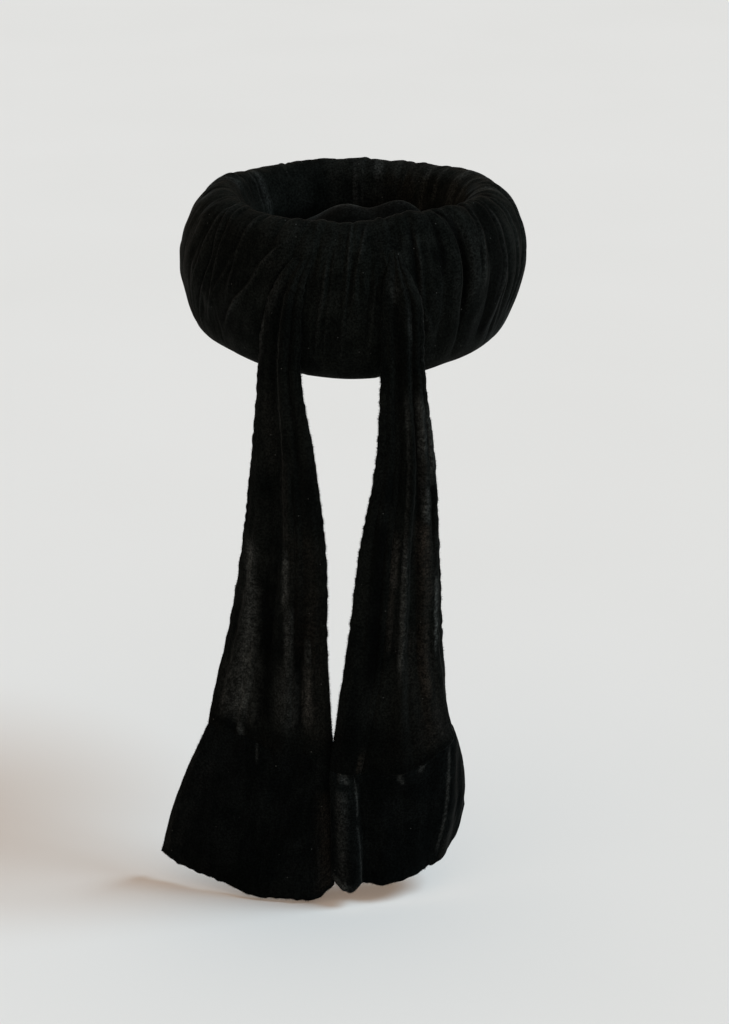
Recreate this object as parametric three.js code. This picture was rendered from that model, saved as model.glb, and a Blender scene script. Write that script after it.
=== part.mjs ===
// Black velvet tilt hat: a stuffed, gathered doughnut roll round a soft sunken crown, with two
// streamers that hang from the back of the roll and end in flared cuffs.
// Millimetres. +Z up, +Y the wearer's front, +X the wearer's right. The origin is the middle of
// the head opening, level with the lower edge of the roll at its front.
import * as THREE from 'three';
import { LoftGeometry } from 'three/addons/geometries/LoftGeometry.js';

const DEG = Math.PI / 180;

// Named sizes
const ROLL_WIDTH = 236;     // over the roll, side to side, at its widest level
const ROLL_LENGTH = 240;    // over the roll, front to back
const ROLL_HEIGHT = 102;    // lower edge to crest
const HEAD_WIDTH = 166;     // head opening, side to side
const HEAD_LENGTH = 178;    // head opening, front to back
const CROWN_WALL = 2.4;
const TAIL_WALL = 2.0;
const CUFF_WALL = 3.4;
const GAP = 0.3;            // clearance left between separate pieces of cloth
const TAIL_CLEAR = 2.2;     // how far the tails lie off the mean surface of the roll
const ROOT_CLEAR = 0.25;    // the same where they are sewn to it
const CROWN_RIM_UP = 61.5;  // level where the crown turns away from the roll
const CROWN_DOME = 5;       // rise of the plain crown above that level

// Section of the roll, a closed curve: 'across' runs from the head side (0) to the widest
// circle (1), 'up' from the lower edge (0) to the crest (1). It leans in over the crown.
const ROLL_SECTION = [
  { across: 0.12, up: 0.00 }, { across: 0.55, up: 0.08 }, { across: 0.85, up: 0.30 },
  { across: 1.00, up: 0.55 }, { across: 0.90, up: 0.76 }, { across: 0.60, up: 0.93 },
  { across: 0.20, up: 1.00 }, { across: -0.20, up: 0.95 }, { across: -0.45, up: 0.80 },
  { across: -0.48, up: 0.66 }, { across: -0.22, up: 0.42 }, { across: -0.04, up: 0.12 },
];

// The roll isn't even all round: millimetres added at the crest, at the lower edge and outwards
// over its upper half, by turn from the centre back towards the wearer's right.
const ROLL_LEVELS = [
  { turn: -180, crest: -3, edge: 0, upper: 0 }, { turn: -140, crest: -2, edge: 1, upper: -1 },
  { turn: -105, crest: 3, edge: 2, upper: -5 }, { turn: -60, crest: 1, edge: 2, upper: -4 },
  { turn: -25, crest: 0, edge: -2, upper: 0 }, { turn: 0, crest: 0, edge: -3.5, upper: 0 },
  { turn: 25, crest: 4.5, edge: -2.5, upper: 0 }, { turn: 45, crest: 4.5, edge: 0, upper: 0 },
  { turn: 75, crest: 2, edge: 1.5, upper: 0 }, { turn: 110, crest: 0.5, edge: 2, upper: 0 },
  { turn: 145, crest: -3, edge: 0, upper: 0 },
];

// Gathers of the roll's cover: the turn of each valley at the foot and at the crest, and how
// far the puff after it stands up. They are narrow between the tails and lean at the left.
const GATHERS = [
  { foot: -176, crest: -176, rise: 2.4 }, { foot: -163, crest: -163, rise: 3.0 },
  { foot: -151, crest: -150, rise: 2.2 }, { foot: -140, crest: -137, rise: 3.2 },
  { foot: -129, crest: -125, rise: 2.6 }, { foot: -118, crest: -112, rise: 3.0 },
  { foot: -107, crest: -99, rise: 2.4 }, { foot: -96, crest: -86, rise: 3.0 },
  { foot: -86, crest: -73, rise: 2.6 }, { foot: -76, crest: -61, rise: 3.2 },
  { foot: -66, crest: -49, rise: 3.0 }, { foot: -56, crest: -37, rise: 3.2 },
  { foot: -44, crest: -26, rise: 2.8 }, { foot: -30, crest: -17, rise: 2.0 },
  { foot: -18, crest: -10, rise: 1.6 }, { foot: -9, crest: -4.5, rise: 1.8 },
  { foot: -2, crest: 1, rise: 1.6 }, { foot: 5, crest: 7, rise: 1.8 },
  { foot: 13, crest: 14, rise: 2.0 }, { foot: 21.5, crest: 22, rise: 2.6 },
  { foot: 30, crest: 31, rise: 3.6 }, { foot: 39, crest: 40.5, rise: 4.4 },
  { foot: 50, crest: 53, rise: 3.2 }, { foot: 61, crest: 64, rise: 2.6 },
  { foot: 74, crest: 76, rise: 3.0 }, { foot: 87, crest: 88, rise: 2.4 },
  { foot: 99, crest: 100, rise: 3.0 }, { foot: 112, crest: 112, rise: 2.6 },
  { foot: 124, crest: 125, rise: 3.2 }, { foot: 138, crest: 138, rise: 2.4 },
  { foot: 151, crest: 151, rise: 3.0 }, { foot: 164, crest: 163, rise: 2.6 },
];
const GATHER_STEPS = 4;     // loft sections in each gather
const SECTION_STEPS = 18;   // points round the roll's section
const VALLEY_SHARE = 0.6;   // share of a gather's rise that lies below the mean surface

// Soft lobes of the crown, seen down in the well of the roll
const CROWN_PUFFS = [
  { x: -3, y: 6, radius: 47, rise: 21 }, { x: 33, y: 8, radius: 31, rise: 17 },
  { x: -36, y: -30, radius: 30, rise: 6 }, { x: 16, y: -42, radius: 34, rise: 8 },
  { x: -38, y: 34, radius: 30, rise: 5 }, { x: 14, y: 52, radius: 30, rise: 6 },
];
const CROWN_RIM_STEP = 14;    // step of the roll's section where that is
const CROWN_SIDES = 48;
const CROWN_RINGS = [0.94, 0.82, 0.66, 0.50, 0.34, 0.17, 0];

// Outlines of the tails: level, left edge and right edge
const TAIL_LEFT_OUTLINE = [
  { level: 87, left: -32, right: -22 }, { level: 81, left: -39, right: -25 },
  { level: 70, left: -46, right: -28.5 }, { level: 54, left: -53, right: -31 },
  { level: 33, left: -57, right: -32 }, { level: 6, left: -59, right: -32 },
  { level: -55, left: -64, right: -23 }, { level: -118, left: -70.8, right: -16.4 },
  { level: -182, left: -81, right: -15.9 }, { level: -250, left: -96, right: -15.4 },
];
const TAIL_RIGHT_OUTLINE = [
  { level: 87, left: 25, right: 32 }, { level: 79, left: 23.5, right: 34.5 },
  { level: 71, left: 21, right: 38 }, { level: 56, left: 19, right: 44.5 },
  { level: 41, left: 18.4, right: 46 }, { level: 8, left: 18, right: 46.5 },
  { level: -54, left: 14.5, right: 53.5 }, { level: -118, left: 4, right: 57 },
  { level: -182, left: -3, right: 59.5 }, { level: -255, left: -13, right: 65 },
];
// Lengthwise folds of the tails: share across from the left edge, and how far forward the
// cloth stands there at the root, at the waist under the roll and at the seam.
const TAIL_LEFT_FOLDS = [
  { share: 0.00, root: 0.0, waist: 0.0, seam: 0.0 }, { share: 0.08, root: 1.6, waist: 1.8, seam: 1.4 },
  { share: 0.17, root: 3.4, waist: 3.4, seam: 3.8 }, { share: 0.27, root: 2.2, waist: 2.2, seam: 3.0 },
  { share: 0.36, root: 0.2, waist: 0.3, seam: 0.2 }, { share: 0.45, root: -0.4, waist: -0.3, seam: -0.6 },
  { share: 0.53, root: 1.8, waist: 2.0, seam: 0.8 }, { share: 0.61, root: 4.4, waist: 4.6, seam: 3.4 },
  { share: 0.69, root: 2.6, waist: 2.6, seam: 2.8 }, { share: 0.76, root: -0.4, waist: -0.4, seam: -0.8 },
  { share: 0.84, root: 1.4, waist: 1.8, seam: 1.4 }, { share: 0.92, root: 0.8, waist: 1.2, seam: 0.8 },
  { share: 1.00, root: -0.6, waist: -1.2, seam: -1.2 },
];
const TAIL_RIGHT_FOLDS = [
  { share: 0.00, root: 0.0, waist: 0.0, seam: 0.0 }, { share: 0.10, root: 1.2, waist: 1.2, seam: 1.2 },
  { share: 0.20, root: 1.6, waist: 1.6, seam: 1.4 }, { share: 0.30, root: 0.4, waist: 0.2, seam: 0.6 },
  { share: 0.40, root: -0.4, waist: -0.6, seam: 0.8 }, { share: 0.47, root: 1.2, waist: 1.2, seam: 1.8 },
  { share: 0.54, root: 4.4, waist: 4.2, seam: 3.4 }, { share: 0.61, root: 0.6, waist: 0.4, seam: 0.8 },
  { share: 0.69, root: 0.4, waist: 0.4, seam: 0.8 }, { share: 0.77, root: 3.0, waist: 3.4, seam: 2.8 },
  { share: 0.85, root: 2.2, waist: 2.6, seam: 2.6 }, { share: 0.91, root: 0.6, waist: 1.6, seam: 2.4 },
  { share: 0.95, root: -0.6, waist: -2.6, seam: -3.6 }, { share: 1.00, root: -1.0, waist: -3.6, seam: -5.0 },
];
const FULL_FOLD_WIDTH = 30;   // a tail narrower than this has its folds drawn flatter
const SEAM_BLEND = 70;        // length over which a tail takes the shape of its seam
const SEAM_FADE = 14;         // length over which its folds are pressed flat into the seam
const SEAM_GAP = 0.45;

// Cuffs, one row per line of cloth from the seam to the hem: where it leaves the seam, where
// it meets the hem, how far it bows out sideways between, and how far its rib stands forward.
const CUFF_LEFT_LINES = [
  { seamX: -98, seamY: -107, seamZ: -245.5, hemX: -133.3, hemY: -80, hemZ: -353.8, bow: -3.4, rib: 0 },
  { seamX: -92, seamY: -110, seamZ: -246, hemX: -125, hemY: -87, hemZ: -357, bow: -3.0, rib: 1.2 },
  { seamX: -83, seamY: -113, seamZ: -246.5, hemX: -113, hemY: -95, hemZ: -360, bow: -2.0, rib: -0.6 },
  { seamX: -74, seamY: -116, seamZ: -250, hemX: -99, hemY: -103, hemZ: -362, bow: -1.0, rib: 0.4 },
  { seamX: -64, seamY: -119, seamZ: -255, hemX: -84, hemY: -110, hemZ: -366, bow: 0, rib: 0 },
  { seamX: -53, seamY: -121, seamZ: -259.5, hemX: -69, hemY: -116.5, hemZ: -370, bow: 0, rib: 0.8 },
  { seamX: -42, seamY: -122, seamZ: -260.5, hemX: -55, hemY: -121, hemZ: -370.4, bow: 0, rib: -0.4 },
  { seamX: -32, seamY: -122, seamZ: -260.7, hemX: -41, hemY: -123.5, hemZ: -370, bow: 0, rib: 0.2 },
  { seamX: -23, seamY: -121.5, seamZ: -260.5, hemX: -26, hemY: -124, hemZ: -369, bow: 0, rib: 1.0 },
  { seamX: -14.9, seamY: -120.5, seamZ: -260.4, hemX: -14.9, hemY: -122, hemZ: -360, bow: 0, rib: 0 },
];
const CUFF_RIGHT_LINES = [
  { seamX: -13.4, seamY: -121, seamZ: -272, hemX: -12.2, hemY: -122, hemZ: -352, bow: 0, rib: 0 },
  { seamX: -8, seamY: -124, seamZ: -272.5, hemX: -6, hemY: -127, hemZ: -359, bow: 0, rib: 2.0 },
  { seamX: -2, seamY: -125.5, seamZ: -273, hemX: 0.5, hemY: -128, hemZ: -360, bow: 0, rib: 3.4 },
  { seamX: 4, seamY: -124.5, seamZ: -273.3, hemX: 6.5, hemY: -127, hemZ: -359, bow: 0, rib: 2.6 },
  { seamX: 10, seamY: -122, seamZ: -273.8, hemX: 12.5, hemY: -123, hemZ: -358.6, bow: 0, rib: -1.6 },
  { seamX: 20, seamY: -122, seamZ: -274, hemX: 23, hemY: -122.5, hemZ: -359, bow: 0, rib: 0.4 },
  { seamX: 31, seamY: -122.5, seamZ: -274, hemX: 34, hemY: -119, hemZ: -357, bow: 0, rib: 0 },
  { seamX: 42, seamY: -121, seamZ: -271.5, hemX: 44, hemY: -114, hemZ: -354.5, bow: 0, rib: 0.8 },
  { seamX: 52, seamY: -117.5, seamZ: -267, hemX: 51, hemY: -109.5, hemZ: -352, bow: 1, rib: -0.4 },
  { seamX: 60.5, seamY: -112, seamZ: -261.5, hemX: 56.5, hemY: -106, hemZ: -350, bow: 4, rib: 0.6 },
  { seamX: 67, seamY: -104, seamZ: -258, hemX: 61.5, hemY: -102, hemZ: -346.5, bow: 5, rib: 2.2 },
  { seamX: 68.5, seamY: -98, seamZ: -255.5, hemX: 66, hemY: -94.5, hemZ: -342, bow: 5, rib: -0.6 },
  { seamX: 68, seamY: -93.5, seamZ: -253.5, hemX: 71.5, hemY: -88, hemZ: -334, bow: 5.5, rib: 0 },
  { seamX: 66.5, seamY: -90, seamZ: -252, hemX: 76.3, hemY: -81, hemZ: -318, bow: 4.5, rib: 0 },
];
const PUCKER = 0.8;           // depth of the puckers where a cuff is gathered onto its tail
const EDGE_TURN = 0.018;      // share of a sheet's width taken by each turned edge
const TAIL_ROWS = 22;
const CUFF_ROWS = 8;

const mix = (a, b, t) => a + (b - a) * t;
const clamp01 = (t) => Math.min(1, Math.max(0, t));
const ease = (t) => { const c = clamp01(t); return c * c * (3 - 2 * c); };

// Smooth curve through four values, at share t between the middle two
function through(p0, p1, p2, p3, t) {
  const v0 = (p2 - p0) / 2, v1 = (p3 - p1) / 2;
  return (2 * p1 - 2 * p2 + v0 + v1) * t ** 3 + (3 * p2 - 3 * p1 - 2 * v0 - v1) * t ** 2 + v0 * t + p1;
}

// One named column of a closed table, read smoothly at share s of the way round
function roundTable(rows, column, s) {
  const n = rows.length, at = (((s % 1) + 1) % 1) * n, i = Math.floor(at);
  const row = (k) => rows[(i + k + n) % n][column];
  return through(row(-1), row(0), row(1), row(2), at - i);
}

// One named column of a table whose rows stand at unequal turns, read straight between rows
function turnTable(rows, column, degrees) {
  const turn = ((degrees + 180) % 360 + 360) % 360 - 180;
  const next = rows.findIndex((r) => r.turn > turn);
  const a = rows[next === -1 ? rows.length - 1 : next - 1];
  const b = next === -1 ? { ...rows[0], turn: rows[0].turn + 360 } : rows[next];
  return mix(a[column], b[column], ease((turn - a.turn) / (b.turn - a.turn)));
}

// One named column of a table ordered by 'key', read smoothly between its rows
function table(rows, key, column, value) {
  const way = Math.sign(rows[rows.length - 1][key] - rows[0][key]);
  let i = rows.findIndex((r) => way * (r[key] - value) > 0) - 1;
  if (i === -2) i = rows.length - 2;
  i = Math.max(0, i);
  const row = (k) => rows[Math.min(rows.length - 1, Math.max(0, i + k))][column];
  const t = clamp01((value - rows[i][key]) / (rows[i + 1][key] - rows[i][key]));
  return through(row(-1), row(0), row(1), row(2), t);
}

// The smooth roll under its gathers: turn in degrees from the centre back, s round its section
function rollPoint(turn, s) {
  const across = roundTable(ROLL_SECTION, 'across', s), up = roundTable(ROLL_SECTION, 'up', s);
  const headX = HEAD_WIDTH / 2 + CROWN_WALL + GAP, headY = HEAD_LENGTH / 2 + CROWN_WALL + GAP;
  const edge = turnTable(ROLL_LEVELS, 'edge', turn), crest = turnTable(ROLL_LEVELS, 'crest', turn);
  const share = ((s % 1) + 1) % 1;
  const upper = turnTable(ROLL_LEVELS, 'upper', turn) * ease((up - 0.4) / 0.4) * (1 - ease((share - 0.5) / 0.15));
  return new THREE.Vector3(
    (headX + across * (ROLL_WIDTH / 2 - headX) + upper) * Math.sin(turn * DEG),
    -(headY + across * (ROLL_LENGTH / 2 - headY) + upper) * Math.cos(turn * DEG),
    mix(edge, ROLL_HEIGHT + crest, up),
  );
}

function rollNormal(turn, s) {
  const alongTurn = rollPoint(turn + 0.5, s).sub(rollPoint(turn - 0.5, s));
  const alongSection = rollPoint(turn, s + 0.004).sub(rollPoint(turn, s - 0.004));
  return alongTurn.cross(alongSection).normalize();
}

// How much of a gather's rise shows at s: little at the foot, none where the roll meets the crown
function gatherShare(s) {
  const outer = ease((s - 0.01) / 0.16);
  const well = 1 - ease((s - 0.46) / 0.22);
  return outer * well;
}

// Puff over one gather: zero in the valleys, full in the middle
const puff = (phase) => Math.sin(Math.PI * clamp01(phase)) ** 0.7;

// The cover is drawn flat where a tail springs out of the roll
function flattened(point) {
  const roots = [{ x: -29, y: -118, z: 84 }, { x: 29, y: -118, z: 84 }];
  return roots.reduce((share, r) => {
    const away = Math.hypot(point.x - r.x, point.y - r.y, point.z - r.z);
    return share * mix(0.25, 1, ease((away - 6) / 14));
  }, 1);
}

function gatheredRoll() {
  const sections = [];
  GATHERS.forEach((gather, k) => {
    const wraps = k === GATHERS.length - 1;
    const next = wraps
      ? { foot: GATHERS[0].foot + 360, crest: GATHERS[0].crest + 360 } : GATHERS[k + 1];
    for (let step = 0; step < GATHER_STEPS; step++) {
      const phase = step / GATHER_STEPS, section = [];
      for (let j = 0; j < SECTION_STEPS; j++) {
        const s = j / SECTION_STEPS;
        const lean = ease(s / 0.5) * (1 - ease((s - 0.72) / 0.28));
        const turn = mix(mix(gather.foot, next.foot, phase), mix(gather.crest, next.crest, phase), lean);
        const point = rollPoint(turn, s);
        const stands = gather.rise * gatherShare(s) * flattened(point) * (puff(phase) - VALLEY_SHARE);
        section.push(point.addScaledVector(rollNormal(turn, s), stands));
      }
      sections.push(section.reverse());
    }
  });
  sections.push(sections[0].map((p) => p.clone()));
  return new LoftGeometry(sections, { closed: true, capStart: false, capEnd: false });
}

// Crown: it lies against the head side of the roll, then turns over into a low dome with lobes
function crownPoint(turn, ring) {
  if (ring.s !== undefined) return rollPoint(turn, ring.s);
  const rim = rollPoint(turn, CROWN_RIM_STEP / SECTION_STEPS);
  const x = rim.x * ring.share, y = rim.y * ring.share;
  const lobes = CROWN_PUFFS.reduce((sum, p) => {
    const away = Math.hypot(x - p.x, y - p.y) / p.radius;
    return sum + (away < 1 ? p.rise * Math.cos(away * Math.PI / 2) ** 2 : 0);
  }, 0);
  const shoulder = ease((1 - ring.share) / 0.3);
  const level = mix(CROWN_RIM_UP, rim.z, ring.share ** 2);
  return new THREE.Vector3(x, y, level + 2 + CROWN_DOME * (1 - ring.share ** 2) + lobes * shoulder);
}

function crown() {
  const rings = [
    ...[17, 16, 15, CROWN_RIM_STEP].map((step) => ({ s: step / SECTION_STEPS })),
    ...CROWN_RINGS.map((share) => ({ share })),
  ];
  const centre = crownPoint(0, { share: 0 });
  const skin = (depth) => rings.map((ring, i) => {
    if (ring.share === 0) return Array.from({ length: CROWN_SIDES }, () => centre.clone().setZ(centre.z - depth));
    const points = [];
    for (let k = 0; k < CROWN_SIDES; k++) {
      const turn = 360 * k / CROWN_SIDES;
      const before = crownPoint(turn, rings[Math.max(0, i - 1)]);
      const after = crownPoint(turn, rings[Math.min(rings.length - 1, i + 1)]);
      const round = crownPoint(turn + 2, ring).sub(crownPoint(turn - 2, ring));
      const inward = after.sub(before).cross(round).normalize();
      points.unshift(crownPoint(turn, ring).addScaledVector(inward, depth));
    }
    return points;
  });
  const outer = skin(GAP), inner = skin(GAP + CROWN_WALL);
  const sections = [...outer.reverse(), ...inner];
  return new LoftGeometry(sections, { closed: true, capStart: false, capEnd: false });
}

// A sheet of cloth over a grid of points whose rows run down it, each from left to right. Both
// ends are cut square; the long edges are turned, so the sheet closes to a line there.
function clothSheet(grid, wall) {
  const lastRow = grid.length - 1, lastColumn = grid[0].length - 1;
  const normalAt = (i, j) => {
    const down = grid[Math.min(lastRow, i + 1)][j].clone().sub(grid[Math.max(0, i - 1)][j]);
    const right = grid[i][Math.min(lastColumn, j + 1)].clone().sub(grid[i][Math.max(0, j - 1)]);
    const normal = right.cross(down).normalize();
    if (i === 0 || i === lastRow) normal.setZ(0).normalize();
    return normal;
  };
  const sections = grid[0].map((_, j) => {
    const half = j === 0 || j === lastColumn ? 0 : wall / 2;
    const side = (offset) => grid.map((row, i) => row[j].clone().addScaledVector(normalAt(i, j), offset));
    return [...side(-half), ...side(half).reverse()];
  });
  return new LoftGeometry(sections, { closed: true, capStart: false, capEnd: false });
}

// Shares across a sheet with one more line of points close to each long edge
const withEdges = (shares) => [0, EDGE_TURN, ...shares.filter((q) => q > 0.02 && q < 0.98), 1 - EDGE_TURN, 1];

// The widest plan curve of the roll, or the curve of its outer side at a level above that
function rollFace(x, level) {
  let low = 3 / 12, high = 0.5;
  const turnAt = (s) => {
    const across = roundTable(ROLL_SECTION, 'across', s);
    const headX = HEAD_WIDTH / 2 + CROWN_WALL + GAP;
    return Math.asin(clamp01(Math.abs(x) / (headX + across * (ROLL_WIDTH / 2 - headX)))) / DEG * Math.sign(x);
  };
  const widest = rollPoint(turnAt(low), low).z;
  if (level > widest) {
    for (let k = 0; k < 24; k++) {
      const middle = (low + high) / 2;
      if (rollPoint(turnAt(middle), middle).z < level) low = middle; else high = middle;
    }
  } else high = low;
  const s = (low + high) / 2, turn = turnAt(s);
  return { point: rollPoint(turn, s), normal: rollNormal(turn, s) };
}

// A point of a cuff: share across its lines, share down from the seam to the hem
function cuffPoint(lines, share, down) {
  const column = (name) => {
    const at = share * (lines.length - 1), i = Math.min(lines.length - 2, Math.floor(at));
    const row = (k) => lines[Math.min(lines.length - 1, Math.max(0, i + k))][name];
    return through(row(-1), row(0), row(1), row(2), at - i);
  };
  const swell = Math.sin(Math.PI * down);
  const rib = column('rib') * ease(down / 0.35);
  return new THREE.Vector3(
    mix(column('seamX'), column('hemX'), down) + column('bow') * swell,
    mix(column('seamY'), column('hemY'), down ** 1.15) - rib,
    mix(column('seamZ'), column('hemZ'), down),
  );
}

// A tail: on the roll it follows the roll's face, below that it hangs, and it ends on its seam
function tail(outline, folds, cuffLines) {
  const top = outline[0].level, grid = [];
  const shares = withEdges(folds.flatMap((f, i) => (i > 0 && f.share - folds[i - 1].share > 0.085
    ? [(f.share + folds[i - 1].share) / 2, f.share] : [f.share])));
  const foot = outline[outline.length - 1].level;
  for (let i = 0; i <= TAIL_ROWS; i++) {
    const along = i / TAIL_ROWS;
    const level = mix(top, foot, along ** 1.25);
    const left = table(outline, 'level', 'left', level), right = table(outline, 'level', 'right', level);
    const drawn = Math.min(1, (right - left) / FULL_FOLD_WIDTH) ** 1.5;
    const toWaist = clamp01((top - level) / top), toSeam = clamp01(-level / -foot);
    const foldAt = (share) => {
      const root = table(folds, 'share', 'root', share), waist = table(folds, 'share', 'waist', share);
      const seam = table(folds, 'share', 'seam', share);
      return drawn * (level > 0 ? mix(root, waist, toWaist) : mix(waist, seam, toSeam));
    };
    const deepest = Math.min(...shares.map(foldAt));
    const clear = mix(ROOT_CLEAR, TAIL_CLEAR, ease((top - level) / 25)) + TAIL_WALL / 2;
    const blend = ease((SEAM_BLEND - (level - foot)) / SEAM_BLEND);
    const fade = ease((level - foot) / SEAM_FADE);
    grid.push(shares.map((share) => {
      const face = rollFace(mix(left, right, share), level);
      const point = face.point.clone().setZ(Math.min(face.point.z, level));
      point.addScaledVector(face.normal, clear);
      const seam = cuffPoint(cuffLines, share, 0);
      seam.z += SEAM_GAP;
      point.lerp(seam, blend);
      return point.addScaledVector(face.normal, fade * (foldAt(share) - deepest * (1 - blend)));
    }));
  }
  return clothSheet(grid, TAIL_WALL);
}

function cuff(lines) {
  const grid = [], columns = (lines.length - 1) * 2;
  const shares = withEdges(Array.from({ length: columns + 1 }, (_, j) => j / columns));
  for (let i = 0; i <= CUFF_ROWS; i++) {
    const down = i / CUFF_ROWS, fading = Math.sin(Math.PI * clamp01(down / 0.3)) * (1 - down);
    grid.push(shares.map((share) => {
      const point = cuffPoint(lines, share, down);
      point.y -= PUCKER * fading * Math.cos(Math.PI * columns * share) * ease(Math.min(share, 1 - share) / 0.04);
      return point;
    }));
  }
  return clothSheet(grid, CUFF_WALL);
}

const part = new THREE.Group();
part.name = 'tilt_hat';
function add(name, geometry, colour) {
  const material = new THREE.MeshStandardMaterial({ color: colour, roughness: 0.95, metalness: 0 });
  material.name = name;
  const mesh = new THREE.Mesh(geometry, material);
  mesh.name = name;
  part.add(mesh);
}

add('brim_roll', gatheredRoll(), 0x24252a);
add('crown', crown(), 0x2b2c32);
add('tail_left', tail(TAIL_LEFT_OUTLINE, TAIL_LEFT_FOLDS, CUFF_LEFT_LINES), 0x2a2725);
add('tail_right', tail(TAIL_RIGHT_OUTLINE, TAIL_RIGHT_FOLDS, CUFF_RIGHT_LINES), 0x2a2725);
add('cuff_left', cuff(CUFF_LEFT_LINES), 0x1e1f21);
add('cuff_right', cuff(CUFF_RIGHT_LINES), 0x1e1f21);

export default part;
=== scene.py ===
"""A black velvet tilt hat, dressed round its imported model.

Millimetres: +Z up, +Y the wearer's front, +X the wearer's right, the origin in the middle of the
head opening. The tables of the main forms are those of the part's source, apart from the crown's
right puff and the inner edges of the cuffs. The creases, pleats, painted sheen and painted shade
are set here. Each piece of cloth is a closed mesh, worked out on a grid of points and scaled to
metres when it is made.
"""
import math

import bpy
import numpy as np
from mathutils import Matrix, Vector


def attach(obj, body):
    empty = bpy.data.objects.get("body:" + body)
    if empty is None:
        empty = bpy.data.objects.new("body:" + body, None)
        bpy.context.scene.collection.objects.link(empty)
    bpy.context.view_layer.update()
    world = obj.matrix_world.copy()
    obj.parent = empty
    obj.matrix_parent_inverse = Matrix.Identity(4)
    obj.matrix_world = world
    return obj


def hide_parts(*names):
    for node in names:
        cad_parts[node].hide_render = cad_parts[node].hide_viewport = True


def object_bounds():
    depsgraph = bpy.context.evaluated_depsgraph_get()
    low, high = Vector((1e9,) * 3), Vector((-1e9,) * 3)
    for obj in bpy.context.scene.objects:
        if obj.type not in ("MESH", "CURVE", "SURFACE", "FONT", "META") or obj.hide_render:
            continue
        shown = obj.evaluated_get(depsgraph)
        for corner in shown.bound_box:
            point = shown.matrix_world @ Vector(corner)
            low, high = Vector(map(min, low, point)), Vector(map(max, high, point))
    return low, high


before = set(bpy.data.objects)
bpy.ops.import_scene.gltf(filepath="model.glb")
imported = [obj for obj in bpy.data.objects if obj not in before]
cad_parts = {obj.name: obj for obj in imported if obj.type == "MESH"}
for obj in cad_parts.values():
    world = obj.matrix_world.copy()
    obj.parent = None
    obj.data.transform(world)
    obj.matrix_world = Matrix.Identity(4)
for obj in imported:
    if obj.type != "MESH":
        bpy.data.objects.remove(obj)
cad_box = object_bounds()

MM = 0.001
DEG = math.pi / 180

# Sizes of the part, in millimetres
ROLL_WIDTH, ROLL_LENGTH, ROLL_HEIGHT = 236, 240, 102
HEAD_WIDTH, HEAD_LENGTH = 166, 178
CROWN_WALL, TAIL_WALL, CUFF_WALL = 2.4, 2.0, 3.4
GAP = 0.3
TAIL_CLEAR, ROOT_CLEAR = 2.2, 0.25
CROWN_RIM_UP, CROWN_DOME = 61.5, 5
# Shares round the roll's section: its widest curve and its crest, and the stretch of its inner
# side that the crown follows
WIDEST_SHARE, CREST_SHARE = 3 / 12, 0.5
CROWN_FOOT_SHARE, CROWN_RIM_SHARE = 17 / 18, 14 / 18
CROWN_SIDE = 0.3               # share of the crown's way to its centre that lies on the roll
HEAD_X = HEAD_WIDTH / 2 + CROWN_WALL + GAP
HEAD_Y = HEAD_LENGTH / 2 + CROWN_WALL + GAP


def columns(names, *rows):
    """A small table, as a dict from each column's name to its values."""
    return dict(zip(names.split(), np.array(rows, float).T))


ROLL_SECTION = columns(
    "across up",
    (0.12, 0), (0.55, 0.08), (0.85, 0.30), (1, 0.55), (0.90, 0.76), (0.60, 0.93),
    (0.20, 1), (-0.20, 0.95), (-0.45, 0.80), (-0.48, 0.66), (-0.22, 0.42), (-0.04, 0.12),
)
ROLL_LEVELS = columns(
    "turn crest edge upper",
    (-180, -3, 0, 0), (-140, -2, 1, -1), (-105, 3, 2, -5), (-60, 1, 2, -4),
    (-25, 0, -2, 0), (0, 0, -3.5, 0), (25, 4.5, -2.5, 0), (45, 4.5, 0, 0),
    (75, 2, 1.5, 0), (110, 0.5, 2, 0), (145, -3, 0, 0), (180, -3, 0, 0),
)
# Valleys between the gathers, and how far the puff after each stands up. 'skew' moves the top
# of the puff: over 1 towards the wearer's right, under 1 towards the left.
GATHERS = columns(
    "foot crest rise skew",
    (-176, -176, 2.4, 1.2), (-163, -163, 3, 0.9), (-151, -150, 2.2, 0.8),
    (-140, -137, 3.2, 1.3), (-129, -125, 2.6, 1.1), (-118, -112, 3, 0.8),
    (-107, -99, 2.4, 1.2), (-96, -86, 3, 0.9), (-86, -73, 2.6, 1.3),
    (-76, -61, 3.2, 1.2), (-66, -49, 3, 0.8), (-56, -37, 3.2, 1.3),
    (-44, -26, 2.8, 0.9), (-30, -17, 2, 1.2), (-18, -10, 1.6, 0.9),
    (-9, -4.5, 1.8, 1.3), (-2, 1, 1.6, 0.8), (5, 7, 1.8, 1.2),
    (13, 14, 2, 0.8), (21.5, 22, 2.6, 1.1), (30, 31, 3.6, 1.3),
    (39, 40.5, 4.4, 0.7), (50, 53, 3.2, 1.3), (61, 64, 2.6, 0.8),
    (74, 76, 3, 1.2), (87, 88, 2.4, 0.8), (99, 100, 3, 1.2),
    (112, 112, 2.6, 0.9), (124, 125, 3.2, 0.8), (138, 138, 2.4, 1.3),
    (151, 151, 3, 1.2), (164, 163, 2.6, 0.9),
)
VALLEY_SHARE = 0.6
# The gathers are strong beside the tails and nearly smooth over the front
GATHER_STRENGTH = columns(
    "turn share",
    (-180, 0.30), (-130, 0.28), (-95, 0.42), (-60, 0.50), (-35, 0.42), (-12, 0.75), (12, 0.80),
    (28, 0.85), (45, 0.80), (62, 0.60), (90, 0.42), (130, 0.28), (180, 0.30),
)
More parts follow.
